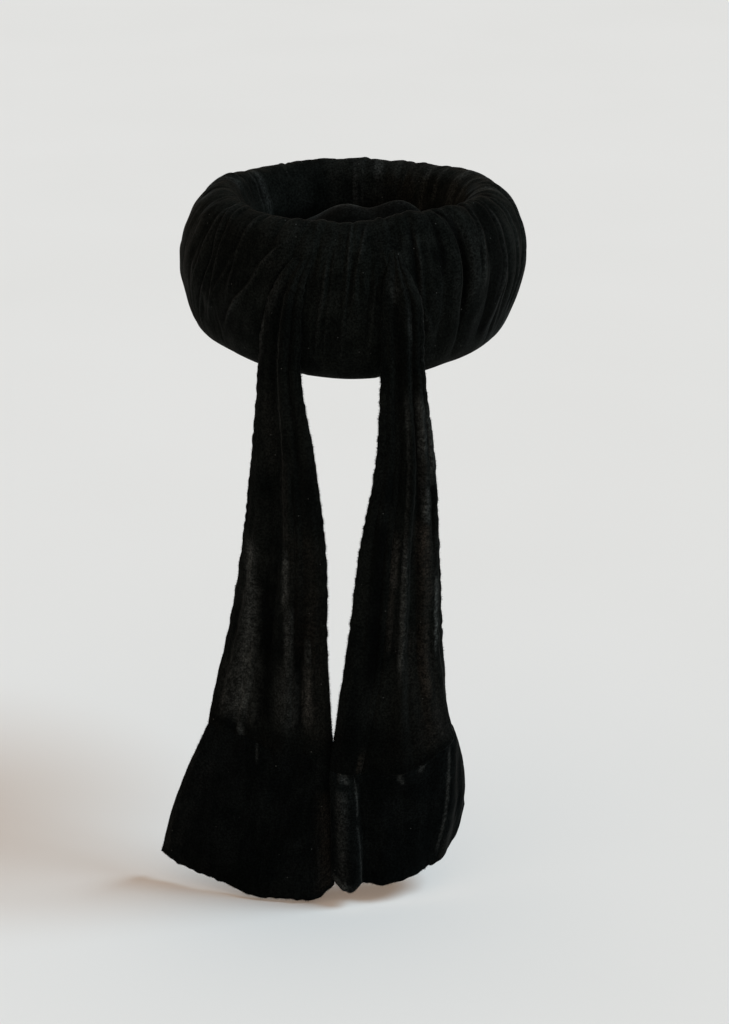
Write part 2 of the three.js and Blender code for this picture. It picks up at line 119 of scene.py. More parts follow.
# Creases that stand out: a fold line by its turn low down, half way and at the crest, the
# stretch of the section that it runs over, its depth and width, and the ridge beside it.
CREASES = columns(
    "low middle high start end depth width ridge",
    (-66, -54, -58, 0.10, 0.56, 1, 1.6, 1.3), (-57, -51, -53, 0.16, 0.54, 0.8, 1.4, 1.1),
    (-48, -43.5, -40, 0.20, 0.56, 0.7, 1.5, 0.9), (-50, -34, -16, 0.13, 0.42, 1.1, 1.7, 1.5),
    (-60, -46, -32, 0.12, 0.38, 0.5, 1.4, 0.9), (-72, -62, -60, 0.10, 0.60, 0.9, 1.8, 1),
    (-31, -18.5, -12, 0.14, 0.39, 1, 1.7, 1.9), (-4.5, -2.4, -1, 0.08, 0.52, 1, 1.3, 1),
    (-3, 0, 5, 0.16, 0.50, 0.9, 1.3, 1), (-13, -9.4, -7, 0.10, 0.39, 1.1, 1.3, 1.1),
    (-10, -7, -5, 0.09, 0.42, 0.8, 1.1, 0.8), (14, 11, 9, 0.10, 0.40, 0.9, 1.2, 0.9),
    (20.6, 21.8, 21.4, 0.12, 0.46, 1, 1.5, 1.5), (27, 15.8, 12, 0.14, 0.37, 1, 1.7, 1.7),
    (38, 40.6, 37, 0.16, 0.56, 2.8, 3.2, 0.7), (42, 46.6, 52, 0.20, 0.58, 0.8, 1.8, 1.1),
    (53, 59, 61, 0.16, 0.60, 0.9, 1.8, 1.2), (70, 77, 92, 0.12, 0.56, 1, 2, 1.1),
    (5, 6.5, 10, 0.06, 0.34, 0.8, 1.2, 0.8), (66, 69, 73, 0.14, 0.50, 0.8, 1.6, 0.9),
    (-128, -118, -112, 0.20, 0.60, 0.7, 2, 0.8), (118, 126, 133, 0.18, 0.58, 0.7, 2.2, 0.8),
    (-165, -158, -150, 0.24, 0.58, 0.6, 2, 0.7), (160, 168, 172, 0.24, 0.60, 0.6, 2, 0.7),
)
CROWN_PUFFS = columns(
    "x y radius rise",
    (-3, 6, 47, 21), (37, 8, 31, 23), (-36, -30, 30, 6),
    (16, -42, 34, 8), (-38, 34, 30, 5), (14, 52, 30, 6),
)

# Painted sheen on the tops of the crown's puffs: the middle, how far it reaches and how strong it
# is
CROWN_PAINTED_SHEEN = ((-4, 12, 14, 0.95), (34, 12, 12, 0.42))

TAIL_LEFT_OUTLINE = columns(
    "level left right",
    (87, -32, -22), (81, -39, -25), (70, -46, -28.5), (54, -53, -31), (33, -57, -32),
    (6, -59, -32), (-55, -64, -23), (-118, -70.8, -16.4), (-182, -81, -15.9),
    (-250, -96, -15.4),
)
TAIL_RIGHT_OUTLINE = columns(
    "level left right",
    (87, 25, 32), (79, 23.5, 34.5), (71, 21, 38), (56, 19, 44.5), (41, 18.4, 46),
    (8, 18, 46.5), (-54, 14.5, 53.5), (-118, 4, 57), (-182, -3, 59.5), (-255, -13, 65),
)
TAIL_LEFT_FOLDS = columns(
    "share root waist seam",
    (0, 0, 0, 0), (0.08, 1.6, 1.8, 1.4), (0.17, 3.4, 3.4, 3.8),
    (0.27, 2.2, 2.2, 3), (0.36, 0.2, 0.3, 0.2), (0.45, -0.4, -0.3, -0.6),
    (0.53, 1.8, 2, 0.8), (0.61, 4.4, 4.6, 3.4), (0.69, 2.6, 2.6, 2.8),
    (0.76, -0.4, -0.4, -0.8), (0.84, 1.4, 1.8, 1.4), (0.92, 0.8, 1.2, 0.8),
    (1, -0.6, -1.2, -1.2),
)
TAIL_RIGHT_FOLDS = columns(
    "share root waist seam",
    (0, 0, 0, 0), (0.10, 1.2, 1.2, 1.2), (0.20, 1.6, 1.6, 1.4),
    (0.30, 0.4, 0.2, 0.6), (0.40, -0.4, -0.6, 0.8), (0.47, 1.2, 1.2, 1.8),
    (0.54, 4.4, 4.2, 3.4), (0.61, 0.6, 0.4, 0.8), (0.69, 0.4, 0.4, 0.8),
    (0.77, 3, 3.4, 2.8), (0.85, 2.2, 2.6, 2.6), (0.91, 0.6, 1.6, 2.4),
    (0.95, -0.6, -2.6, -3.6), (1, -1, -3.6, -5),
)
# Thin creases of the tails: share across at the top and at the seam, the levels that they run
# between, the depth and width of the fold line, and the ridge to the right of it
TAIL_LEFT_PLEATS = columns(
    "top foot start end depth width ridge",
    (0.22, 0.10, 60, -235, 0.7, 1.6, 0.5), (0.40, 0.33, 70, -246, 0.9, 1.5, 0.5),
    (0.50, 0.52, 78, -120, 0.6, 1.2, 1.1), (0.60, 0.69, 60, -250, 1, 1.4, 0.4),
    (0.72, 0.74, 40, -170, 0.7, 1.2, 0.5), (0.86, 0.84, 10, -240, 0.6, 1.4, 0.4),
    (0.25, 0.28, -90, -250, 0.8, 1.5, 0.5), (0.02, 0.36, -205, -256, 1.2, 2.2, 1),
    (0.93, 0.92, 60, -230, 0.5, 1.1, 0.3), (0.42, 0.45, -100, -246, 0.7, 1.3, 0.5),
)
TAIL_RIGHT_PLEATS = columns(
    "top foot start end depth width ridge",
    (0.14, 0.16, 50, -200, 0.6, 1.3, 0.4), (0.30, 0.30, 70, -240, 0.7, 1.4, 0.4),
    (0.44, 0.36, 85, -250, 0.8, 1.3, 0.5), (0.55, 0.50, 80, -225, 0.7, 1.3, 1.7),
    (0.68, 0.70, 20, -235, 0.9, 1.5, 0.6), (0.82, 0.88, 60, -120, 0.6, 1.2, 0.8),
    (0.88, 0.93, -130, -262, 1, 1.3, 1.3), (0.52, 0.60, -190, -262, 0.7, 1.3, 0.5),
)
# Painted sheen on the tails where the pile lies crushed: share across at the ends of the stretch,
# its levels, half its width, how strong it is and how brown it looks. Below 0, painted shade
# instead.
SHINE_COLUMNS = "top foot start end width shine warm"
TAIL_LEFT_PAINTED_SHEEN_AND_SHADE = columns(
    SHINE_COLUMNS,
    (0.12, 0.21, -106, -160, 3.4, 0.95, 0.1), (0.20, 0.25, -136, -208, 5, 0.95, 0.1),
    (0.20, 0.27, -182, -228, 9, 0.78, 0), (0.20, 0.24, -188, -214, 1.8, -0.8, 0),
    (0.28, 0.36, -214, -252, 1.2, 0.60, 0), (0.13, 0.17, -198, -228, 1, 0.90, 0.2),
    (0.54, 0.575, -110, -164, 2.3, 0.80, 0.1), (0.61, 0.66, -150, -206, 2.6, 0.70, 0.1),
    (0.62, 0.645, -188, -224, 5.5, 0.60, 0.1), (0.52, 0.54, -40, -118, 2.6, 0.28, 0.6),
    (0.82, 0.82, -168, -204, 2.8, 0.30, 0.2), (0.81, 0.81, -184, -224, 3.6, 0.65, 0.6),
    (0.70, 0.85, -96, -196, 9, 0.18, 1), (0.28, 0.36, 10, -70, 4, 0.12, 0.6),
    (0.88, 0.90, -150, -236, 5, 0.14, 1), (0.03, 0.04, 50, 2, 2, 0.45, 0),
    (0.10, 0.12, 78, 40, 3, 0.30, 0.1), (0.40, 0.55, -240, -262, 3, 0.40, 0.3),
    (0.50, 0.52, 40, -60, 1.2, 0.30, 0.1), (0.30, 0.34, -60, -104, 7, -0.25, 0),
    (0.31, 0.47, -130, -226, 6.2, -0.75, 0), (0.67, 0.73, -130, -230, 3, -0.65, 0),
    (0.60, 0.60, -212, -330, 90, -0.45, 0),
)
TAIL_RIGHT_PAINTED_SHEEN_AND_SHADE = columns(
    SHINE_COLUMNS,
    (0.78, 0.73, 0, -58, 1.7, 0.95, 0.1), (0.73, 0.75, -36, -84, 2.4, 0.42, 0.4),
    (0.74, 0.79, -60, -102, 1.9, 0.80, 0.1), (0.90, 0.85, -8, -74, 1.5, 0.50, 0),
    (0.955, 0.955, 34, -18, 1.3, 0.45, 0), (0.72, 0.78, -88, -158, 3.8, 0.72, 1),
    (0.77, 0.73, -138, -216, 3.2, 0.50, 1), (0.515, 0.535, 0, -124, 0.8, 0.42, 0),
    (0.535, 0.53, -102, -204, 1, 0.60, 0), (0.44, 0.42, -96, -148, 2.2, 0.62, 0.6),
    (0.42, 0.415, -130, -192, 1.8, 0.28, 0.8), (0.895, 0.865, -124, -194, 0.9, 0.85, 0),
    (0.31, 0.31, -222, -252, 3.4, 0.46, 1), (0.66, 0.74, -160, -240, 11, 0.20, 0.8),
    (0.93, 0.94, -190, -262, 1.4, 0.60, 0.1), (0.30, 0.34, 76, 50, 3, 0.50, 0),
    (0.60, 0.62, 60, 20, 1.6, 0.30, 0.1), (0.63, 0.62, -8, -66, 2.2, -0.50, 0),
    (0.26, 0.26, 4, -96, 7, -0.40, 0), (0.22, 0.28, -84, -210, 5.5, -0.75, 0),
    (0.40, 0.40, -206, -330, 90, -0.55, 0.2), (0.74, 0.76, -222, -240, 6, -0.5, 0),
)
# The same painted sheen and shade for the roll: the turn at the ends of the stretch, and its reach
# round the section
ROLL_PAINTED_SHEEN_AND_SHADE = columns(
    SHINE_COLUMNS,
    (179, 178, 0.50, 0.82, 2.4, 0.26, 0.1), (175, 174, 0.50, 0.74, 1.4, 0.20, 0.1),
    (168, 166, 0.46, 0.64, 3.4, 0.46, 0), (158, 156, 0.46, 0.66, 4, 0.36, 0.1),
    (149, 147, 0.50, 0.78, 7, 0.20, 0.5), (140, 137, 0.46, 0.76, 3, 0.36, 0.1),
    (132, 129, 0.44, 0.68, 2, 0.40, 0), (152, 150, 0.46, 0.84, 30, 0.10, 0.1),
    (-127, -124, 0.48, 0.86, 3.2, 0.34, 0), (-121, -119, 0.50, 0.80, 1.2, 0.30, 0),
    (-171, -170, 0.54, 0.78, 5, 0.10, 1), (-161, -160, 0.44, 0.90, 13, -0.42, 0),
    (-142, -140, 0.44, 0.90, 14, -0.30, 0), (119, 113, 0.44, 0.70, 4.6, 0.50, 0.1),
    (107, 103, 0.44, 0.66, 2.6, 0.52, 0.1), (-104, -100, 0.42, 0.62, 3.6, 0.34, 0.1),
    (88, 84, 0.42, 0.62, 4.6, 0.45, 0.1), (15, 13.4, 0.30, 0.385, 1.8, 0.50, 0),
    (24, 19, 0.22, 0.30, 1.4, 0.34, 0), (-30, -19, 0.20, 0.34, 1, 0.20, 0.2),
    (-48, -46, 0.10, 0.50, 24, -0.42, 0), (57, 57, 0.08, 0.50, 18, -0.65, 0),
)
# The same painted sheen for the cuffs, with the stretch as a share of the way down
CUFF_LEFT_PAINTED_SHEEN = columns(
    SHINE_COLUMNS,
    (0.93, 0.94, 0.25, 0.98, 6, 0.34, 1), (0.04, 0.05, 0.15, 0.98, 2.6, 0.16, 0.5),
    (0.14, 0.12, 0.20, 0.90, 7, 0.07, 0.3), (0.88, 0.90, 0.55, 0.95, 1.3, 0.18, 0.2),
    (0.43, 0.47, -0.05, 0.13, 0.8, 0.35, 0),
)
CUFF_RIGHT_PAINTED_SHEEN = columns(
    SHINE_COLUMNS,
    (0.12, 0.13, 0.14, 0.98, 4.8, 0.32, 0.1), (0.27, 0.28, 0.04, 0.40, 1.2, 0.65, 0),
    (0.27, 0.29, 0.45, 1.02, 1.2, 0.36, 0.1), (0.12, 0.16, -0.05, 0.12, 4, 0.60, 0),
    (0.08, 0.24, 0.90, 1.10, 9, 0.75, 0.1), (0.77, 0.72, 0.02, 0.90, 0.9, 0.75, 0.2),
    (0.97, 0.98, -0.05, 1.05, 2.6, 0.15, 0.3), (0.84, 0.80, 0.74, 1.05, 6, 0.24, 1),
    (0.525, 0.555, -0.05, 0.14, 0.8, 0.50, 0), (0.65, 0.62, -0.05, 0.10, 1.2, 0.40, 0),
)
# Width at which a tail's folds reach their full height
FULL_FOLD_WIDTH = 30
# Ends of the pile along each millimetre of an edge, their greatest length and their width
PILE_PER_MM, PILE_LENGTH, PILE_WIDTH = 12, 2.1, 0.22
# How far above the seam a tail turns towards its cuff, how far its folds fade out, and how far
# its foot lies below the cuff's upper edge
SEAM_BLEND, SEAM_FADE, SEAM_SUNK = 70, 14, 1.8
# How far the root of a tail is drawn into the roll, and over what length
ROOT_SUNK, ROOT_LENGTH = 3.2, 15

CUFF_COLUMNS = "seam_x seam_y seam_z hem_x hem_y hem_z bow rib"
CUFF_LEFT_LINES = columns(
    CUFF_COLUMNS,
    (-98, -107, -245.5, -133.3, -80, -353.8, -3.4, 0),
    (-92, -110, -246, -125, -87, -357, -3, 1.2),
    (-83, -113, -246.5, -113, -95, -360, -2, -0.6),
    (-74, -116, -250, -99, -103, -362, -1, 0.4),
    (-64, -119, -255, -84, -110, -366, 0, 0), (-53, -121, -259.5, -69, -116.5, -370, 0, 0.8),
    (-42, -122, -260.5, -55, -121, -370.4, 0, -0.4), (-31, -122, -260.7, -39, -123, -370, 0, 0.2),
    (-21, -121, -260.8, -24, -122.5, -369, 0, 0.8),
    (-11.6, -119.6, -261.5, -12.4, -120, -360, 0, 0),
)
CUFF_RIGHT_LINES = columns(
    CUFF_COLUMNS,
    (-14.8, -126.4, -270.5, -14, -126.6, -350.5, 0, 0),
    (-11, -127, -272, -9.6, -128, -356, 0, 1.2),
    (-7, -126.6, -272.5, -5, -128.6, -360, 0, 2.8),
    (-2.4, -125.8, -273, -0.6, -128, -360.5, 0, 3.4),
    (1.6, -124.6, -273.3, 3.6, -126.6, -358, 0, 2.6),
    (4.2, -123.2, -273.5, 6.4, -123.6, -358, 0, -1.4),
    (10, -122, -273.8, 12, -122.6, -358.6, 0, -1.2), (20, -122, -274, 23, -122.5, -359, 0, 0.4),
    (31, -122.5, -274, 34, -119, -357, 0, 0), (42, -121, -271.5, 44, -114, -354.5, 0, 0.8),
    (52, -117.5, -267, 51, -109.5, -352, 1, -0.4), (60.5, -112, -261.5, 56.5, -106, -350, 4, 0.6),
    (67, -104, -258, 61.5, -102, -346.5, 5, 2.2), (68.5, -98, -255.5, 66, -94.5, -342, 5, -0.6),
    (68, -93.5, -253.5, 71.5, -88, -334, 5.5, 0), (66.5, -90, -252, 76.3, -81, -318, 4.5, 0),
)

# Heights of the uneven relief, from fine to broad
ROLL_RIPPLES, ROLL_KNOTS, ROLL_LUMPS, ROLL_SWELLS = 0.16, 0.45, 0.8, 1.2
CROWN_SHIRRING, CROWN_DIMPLES = 0.9, 1.0
TAIL_RIPPLES, TAIL_LUMPS, TAIL_PUCKERS = 0.25, 0.45, 0.9
CUFF_GRAIN, CUFF_LUMPS, CUFF_PUCKERS, CUFF_SWELLS = 0.15, 0.45, 0.8, 1.1
# The roll is fuller low down on the left: the height, the turn and how far round it reaches
LEFT_FULLNESS, LEFT_TURN, LEFT_REACH = 1.6, -82, 20

# How finely each piece is drawn; the roll's hidden part, beyond ROLL_SHOWN, is drawn coarsely
ROLL_TURNS, ROLL_STEPS, ROLL_HIDDEN_STEPS, ROLL_SHOWN = 768, 118, 20, 0.72
CROWN_TURNS, CROWN_STEPS = 288, 60
TAIL_COLUMNS, TAIL_ROWS = 96, 250
CUFF_ACROSS, CUFF_DOWN = 120, 110


def mix(a, b, t):
    return a + (b - a) * t


def ease(t):
    c = np.clip(t, 0, 1)
    return c * c * (3 - 2 * c)


def through(p0, p1, p2, p3, t):
    """Smooth curve through four values, at share t between the middle two."""
    v0, v1 = (p2 - p0) / 2, (p3 - p1) / 2
    cube, square = 2 * p1 - 2 * p2 + v0 + v1, 3 * p2 - 3 * p1 - 2 * v0 - v1
    return cube * t ** 3 + square * t ** 2 + v0 * t + p1


def round_curve(values, share):
    """A closed table of equal steps, read smoothly."""
    count = len(values)
    at = np.mod(share, 1) * count
    i = np.floor(at).astype(int)
    return through(*(values[(i + k) % count] for k in (-1, 0, 1, 2)), at - i)


def open_curve(values, share):
    """An open table of equal steps, read smoothly."""
    last = len(values) - 1
    at = np.clip(share, 0, 1) * last
    i = np.minimum(np.floor(at).astype(int), last - 1)
    return through(*(values[np.clip(i + k, 0, last)] for k in (-1, 0, 1, 2)), at - i)


def keyed_curve(keys, values, at):
    """An open table whose keys lie unequally, rising or falling, read smoothly."""
    if keys[0] > keys[-1]:
        keys, at = -keys, -at
    last = len(keys) - 1
    i = np.clip(np.searchsorted(keys, at, side="right") - 1, 0, last - 1)
    t = np.clip((at - keys[i]) / (keys[i + 1] - keys[i]), 0, 1)
    return through(*(values[np.clip(i + k, 0, last)] for k in (-1, 0, 1, 2)), t)


def from_behind(turn):
    """The same turn, from -180 to 180."""
    return np.mod(turn + 180, 360) - 180


def roll_level(column, turn):
    turn = from_behind(turn)
    keys, values = ROLL_LEVELS["turn"], ROLL_LEVELS[column]
    i = np.clip(np.searchsorted(keys, turn, side="right") - 1, 0, len(keys) - 2)
    return mix(values[i], values[i + 1], ease((turn - keys[i]) / (keys[i + 1] - keys[i])))


def roll_point(turn, share):
    """The smooth roll under its gathers: turn from the centre back, share round its section."""
    across, up = (round_curve(ROLL_SECTION[name], share) for name in ("across", "up"))
    way = np.mod(share, 1)
    upper = roll_level("upper", turn) * ease((up - 0.4) / 0.4) * (1 - ease((way - 0.5) / 0.15))
    return np.stack([
        (HEAD_X + across * (ROLL_WIDTH / 2 - HEAD_X) + upper) * np.sin(turn * DEG),
        -(HEAD_Y + across * (ROLL_LENGTH / 2 - HEAD_Y) + upper) * np.cos(turn * DEG),
        mix(roll_level("edge", turn), ROLL_HEIGHT + roll_level("crest", turn), up),
    ], -1)


def unit(v):
    return v / np.maximum(np.linalg.norm(v, axis=-1, keepdims=True), 1e-9)


def roll_normal(turn, share):
    along_turn = roll_point(turn + 0.5, share) - roll_point(turn - 0.5, share)
    along_section = roll_point(turn, share + 0.004) - roll_point(turn, share - 0.004)
    return unit(np.cross(along_turn, along_section))


class Field:
    """Smooth seeded noise from -1 to 1 over (u, v), both from 0 to 1, joined round u."""

    def __init__(self, seed, across, down):
        self.values = np.random.default_rng(seed).uniform(-1, 1, (across, down + 3))
        self.across, self.down = across, down

    def __call__(self, u, v):
        at_u, at_v = np.mod(u, 1) * self.across, np.clip(v, 0, 1) * self.down
        i, j = np.floor(at_u).astype(int), np.minimum(np.floor(at_v).astype(int), self.down - 1)
        rows = [
            through(*(self.values[(i + k) % self.across, j + m] for k in (-1, 0, 1, 2)), at_u - i)
            for m in (0, 1, 2, 3)
        ]
        return through(*rows, at_v - j)


def crease(away, depth, width, ridge):
    """A sharp fold line with a soft ridge beside it; away is the distance across it."""
    return ridge * np.exp(-((away - 1.7 * width) / (1.4 * width)) ** 2) \
        - depth * np.exp(-(np.abs(away) / width) ** 1.5)


def smooth_window(at, start, end, fade):
    return ease((at - start) / fade) * ease((end - at) / fade)


def painted_sheen_and_shade(table, share, way, width, fade):
    """The painted sheen, its brown tint and the painted shade, at a share across and a way down."""
    painted_sheen, brown, dark = (np.zeros(share.shape) for _ in range(3))
    for top, foot, start, end, half, strength, warm in zip(*table.values()):
        line = mix(top, foot, np.clip((way - start) / (end - start), 0, 1))
        low, high = min(start, end), max(start, end)
        across = np.exp(-np.abs((share - line) * width / half) ** 2.6)
        here = smooth_window(way, low, high, fade) * strength * across
        brown = np.where(here > painted_sheen, warm, brown)
        painted_sheen = np.maximum(painted_sheen, here)
        dark = np.maximum(dark, -here)
    return np.stack([painted_sheen, brown, dark], -1)


def add(thing):
    bpy.context.scene.collection.objects.link(thing)


def make_object(name, points, faces, places, material, slot_name, *nodes, tones=None):
    """A piece of the hat that rides on the part and stands for its plain solids."""
    mesh = bpy.data.meshes.new(name)
    mesh.from_pydata((points * MM).tolist(), [], faces)
    mesh.shade_smooth()
    # where each point lies on the flat cloth, for the nap and the streaks
    attribute = mesh.attributes.new("cloth_place", "FLOAT_VECTOR", "POINT")
    attribute.data.foreach_set("vector", (places * MM).astype(np.float32).ravel())
    # the painted sheen there (x), how brown that sheen is (y) and the painted shade (z)
    attribute = mesh.attributes.new("cloth_painted_light", "FLOAT_VECTOR", "POINT")
    tones = np.zeros(points.shape) if tones is None else tones
    attribute.data.foreach_set("vector", tones.astype(np.float32).ravel())
    mesh.materials.append(material)
    piece = bpy.data.objects.new(name, mesh)
    add(piece)
    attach(piece, "root")
    if nodes:
        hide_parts(*nodes)
    return piece


def make_pile(name, borders, seed, material, slot_name):
    """Ends of the pile that stand out past the edges of the cloth. A border is a line of points
    and the line a little way in from it."""
    draw = np.random.default_rng(seed)
    blades = []
    for line, inside in borders:
        run = np.concatenate([[0], np.cumsum(np.linalg.norm(np.diff(line, axis=0), axis=1))])
        count = int(run[-1] * PILE_PER_MM)
        at = draw.uniform(0, run[-1], count)
        foot, out, along = (
            np.stack([np.interp(at, run, values[:, k]) for k in range(3)], -1)
            for values in (line, unit(line - inside), unit(np.gradient(line, axis=0)))
        )
        side = unit(np.cross(out, along))
        stray = draw.normal(0, 0.5, (count, 2))
        way = unit(out + along * stray[:, :1] + side * stray[:, 1:])
        length = PILE_LENGTH * draw.uniform(0.3, 1, (count, 1)) ** 1.6
        half = unit(np.cross(way, draw.normal(size=(count, 3)))) * PILE_WIDTH / 2
        foot = foot - out * 0.4
        blades.append(np.stack([foot - half, foot + half, foot + way * length], 1).reshape(-1, 3))
    points = np.vstack(blades)
    faces = np.arange(len(points)).reshape(-1, 3).tolist()
    return make_object(name, points, faces, points, material, slot_name)


def quads(ids):
    """Faces between neighbouring rows and columns of a grid of point numbers."""
    a, b, c, d = ids[:-1, :-1], ids[:-1, 1:], ids[1:, 1:], ids[1:, :-1]
    return np.stack([a, b, c, d], -1).reshape(-1, 4)


# Colours of the painted sheen, grey and brown, where the pile lies crushed, and of the lint, on
# every piece
PAINTED_SHEEN_GREY = (0.0350, 0.0385, 0.0370, 1)
PAINTED_SHEEN_BROWN = (0.0235, 0.0205, 0.0170, 1)
LINT = (0.045, 0.048, 0.046, 1)


def velvet(name, dark, light, nap, patches, sheen):
    """Black velvet: a deep pile that is dark or light as it lies, with faint streaks of nap along
    the cloth, small crushed patches, bands of painted sheen and of painted shade, and specks of
    lint."""
    material = bpy.data.materials.new(name)
    material.use_nodes = True
    tree = material.node_tree
    link = tree.links.new
    shader = tree.nodes["Principled BSDF"]
    shader.inputs["Specular IOR Level"].default_value = 0.015
    shader.inputs["Sheen Weight"].default_value = sheen
    shader.inputs["Sheen Roughness"].default_value = 0.28
    shader.inputs["Sheen Tint"].default_value = (0.97, 1.0, 0.95, 1)

    def node(kind, **values):
        made = tree.nodes.new(kind)
        for key, value in values.items():
            made.inputs[key].default_value = value
        return made

    def noise(source, scale, detail, rough=0.55):
        made = node("ShaderNodeTexNoise", Scale=scale, Detail=detail, Roughness=rough)
        link(source, made.inputs["Vector"])
        return made.outputs["Fac"]

    def ramp(source, low, high, to_low=0.0, to_high=1.0):
        ends = {"From Min": low, "From Max": high, "To Min": to_low, "To Max": to_high}
        made = node("ShaderNodeMapRange", **ends)
        made.interpolation_type = "SMOOTHSTEP"
        link(source, made.inputs["Value"])
        return made.outputs["Result"]

    def blend(factor, first, second, kind="MIX"):
        made = tree.nodes.new("ShaderNodeMix")
        made.data_type = "RGBA"
        made.blend_type = kind
        for key, value in (("Factor", factor), ("A", first), ("B", second)):
            socket = next(s for s in made.inputs if s.name == key and s.enabled)
            if isinstance(value, (tuple, float)):
                socket.default_value = value
            else:
                link(value, socket)
        return next(s for s in made.outputs if s.enabled)

    def product(first, second):
        made = tree.nodes.new("ShaderNodeMath")
        made.operation = "MULTIPLY"
        link(first, made.inputs[0])
        link(second, made.inputs[1])
        return made.outputs["Value"]

    def attribute(name):
        made = tree.nodes.new("ShaderNodeAttribute")
        made.attribute_name = name
        return made.outputs["Vector"]

    def scaled(colour, factor):
        return tuple(factor * c for c in colour[:3]) + (1,)

    place = attribute("cloth_place")
    mapping = node("ShaderNodeMapping", Scale=(1, 1, 0.12))
    link(place, mapping.inputs["Vector"])
    stretched = mapping.outputs["Vector"]
    body = tree.nodes.new("ShaderNodeTexCoord").outputs["Object"]
    tone = node("ShaderNodeSeparateXYZ")
    link(attribute("cloth_painted_light"), tone.inputs["Vector"])

    # how the pile lies, from broad patches down to its own grain
    lie = ramp(noise(place, scale=34, detail=3), 0.40, 0.66)
    streaks = ramp(noise(stretched, scale=210, detail=3), 0.38, 0.72)
    crushed = ramp(noise(place, scale=58, detail=4, rough=0.62), 0.52, 0.74, 0.0, patches)
    pile = noise(body, scale=760, detail=3, rough=0.8)
    grain = ramp(pile, 0.38, 0.66, 0.45, 1.70)
    # the painted sheen is broken up, finely and along the cloth
    fine_breaks = ramp(noise(place, scale=330, detail=4, rough=0.8), 0.38, 0.62, 0.30, 1.15)
    broad_breaks = ramp(noise(stretched, scale=75, detail=3, rough=0.6), 0.36, 0.60, 0.50, 1.2)
    painted_sheen_amount = product(product(tone.outputs["X"], fine_breaks), broad_breaks)

    colour = blend(lie, dark, light)
    colour = blend(ramp(streaks, 0, 1, 0.0, 0.5), colour, nap)
    colour = blend(crushed, colour, scaled(nap, 2.4))
    # the colour of the painted sheen, from grey to brown
    lit = blend(tone.outputs["Y"], PAINTED_SHEEN_GREY, PAINTED_SHEEN_BROWN)
    # painted shade: a darker copy of the dark pile where the points ask for it
    colour = blend(ramp(tone.outputs["Z"], 0, 1), colour, scaled(dark, 0.35))
    # the painted sheen laid over the pile
    colour = blend(painted_sheen_amount, colour, lit)
    grey = node("ShaderNodeCombineColor")
    for channel in ("Red", "Green", "Blue"):
        link(grain, grey.inputs[channel])
    colour = blend(1.0, colour, grey.outputs["Color"], "MULTIPLY")

    # about half of the cells of a cell pattern hold a speck of lint
    lint = node("ShaderNodeTexVoronoi", Scale=120, Randomness=1.0)
    link(body, lint.inputs["Vector"])
    speck = ramp(lint.outputs["Distance"], 0.030, 0.062, 1.0, 0.0)
    chosen = node("ShaderNodeSeparateColor")
    link(lint.outputs["Color"], chosen.inputs["Color"])
    rare = ramp(chosen.outputs["Red"], 0.45, 0.50)
    colour = blend(product(speck, rare), colour, LINT)
    link(colour, shader.inputs["Base Color"])
    link(ramp(lie, 0, 1, 0.96, 0.84), shader.inputs["Roughness"])

    height = tree.nodes.new("ShaderNodeMath")
    height.operation = "ADD"
    link(noise(stretched, scale=420, detail=4, rough=0.6), height.inputs[0])
    link(pile, height.inputs[1])
    bump = node("ShaderNodeBump", Strength=0.55, Distance=0.0005)
    link(height.outputs["Value"], bump.inputs["Height"])
    link(bump.outputs["Normal"], shader.inputs["Normal"])
    return material


ROLL_VELVET = velvet("roll_velvet", (0.0026, 0.0033, 0.0029, 1), (0.0049, 0.0060, 0.0053, 1),
                     (0.0057, 0.0067, 0.0060, 1), 0.12, 0.030)
CROWN_VELVET = velvet("crown_velvet", (0.0015, 0.0017, 0.0015, 1), (0.0029, 0.0032, 0.0029, 1),
                      (0.0036, 0.0040, 0.0036, 1), 0.16, 0.032)
TAIL_VELVET = velvet("tail_velvet", (0.0020, 0.0026, 0.0024, 1), (0.0040, 0.0048, 0.0043, 1),
                     (0.0048, 0.0056, 0.0050, 1), 0.16, 0.032)
CUFF_VELVET = velvet("cuff_velvet", (0.0013, 0.0018, 0.0018, 1), (0.0028, 0.0036, 0.0035, 1),
                     (0.0032, 0.0039, 0.0038, 1), 0.06, 0.028)


def main_gathers(place, section):
    """Relief of the gathers; place counts the gathers round the roll, section is 0 to 1."""
    count = len(GATHERS["foot"])
    wander = Field(seed=11, across=40, down=6)
    phase = place - np.floor(place)
    k = np.floor(place).astype(int) % count
    sway = 0.10 * wander(place / count, section) * np.sin(np.pi * phase)
    phase = np.clip(phase + sway, 0, 1) ** GATHERS["skew"][k]
    rise = GATHERS["rise"]
    here, before, after = rise[k], rise[(k - 1) % count], rise[(k + 1) % count]
    edge = np.where(phase < 0.5, (here + before) / 2, (here + after) / 2)
    height = mix(edge, here, np.sin(np.pi * phase) ** 2)
    return height * (np.sin(np.pi * phase) ** 0.8 - VALLEY_SHARE)


def random_pleats(turn, section, radius):
    """Short soft pleats inside the gathers, each on its own stretch of the section."""
    draw = np.random.default_rng(23)
    relief = np.zeros(turn.shape)
    for centre in np.concatenate([np.arange(-178, 178, 4.3), np.arange(-13, 15, 1.9)]):
        middle = centre + draw.uniform(-1.2, 1.2)
        lean = draw.uniform(-4, 4) - 7 * np.exp(-((centre + 55) / 35) ** 2)
        start = draw.uniform(0.02, 0.42)
        end = start + draw.uniform(0.14, 0.40)
        depth, width = draw.uniform(0.15, 0.7), draw.uniform(1.1, 2.3)
        line = middle - lean * (section - 0.35) / 0.35
        away = from_behind(turn - line) * DEG * radius
        window = smooth_window(section, start, end, 0.09)
        relief += window * crease(away, depth, width, 0.5 * depth)
    return relief


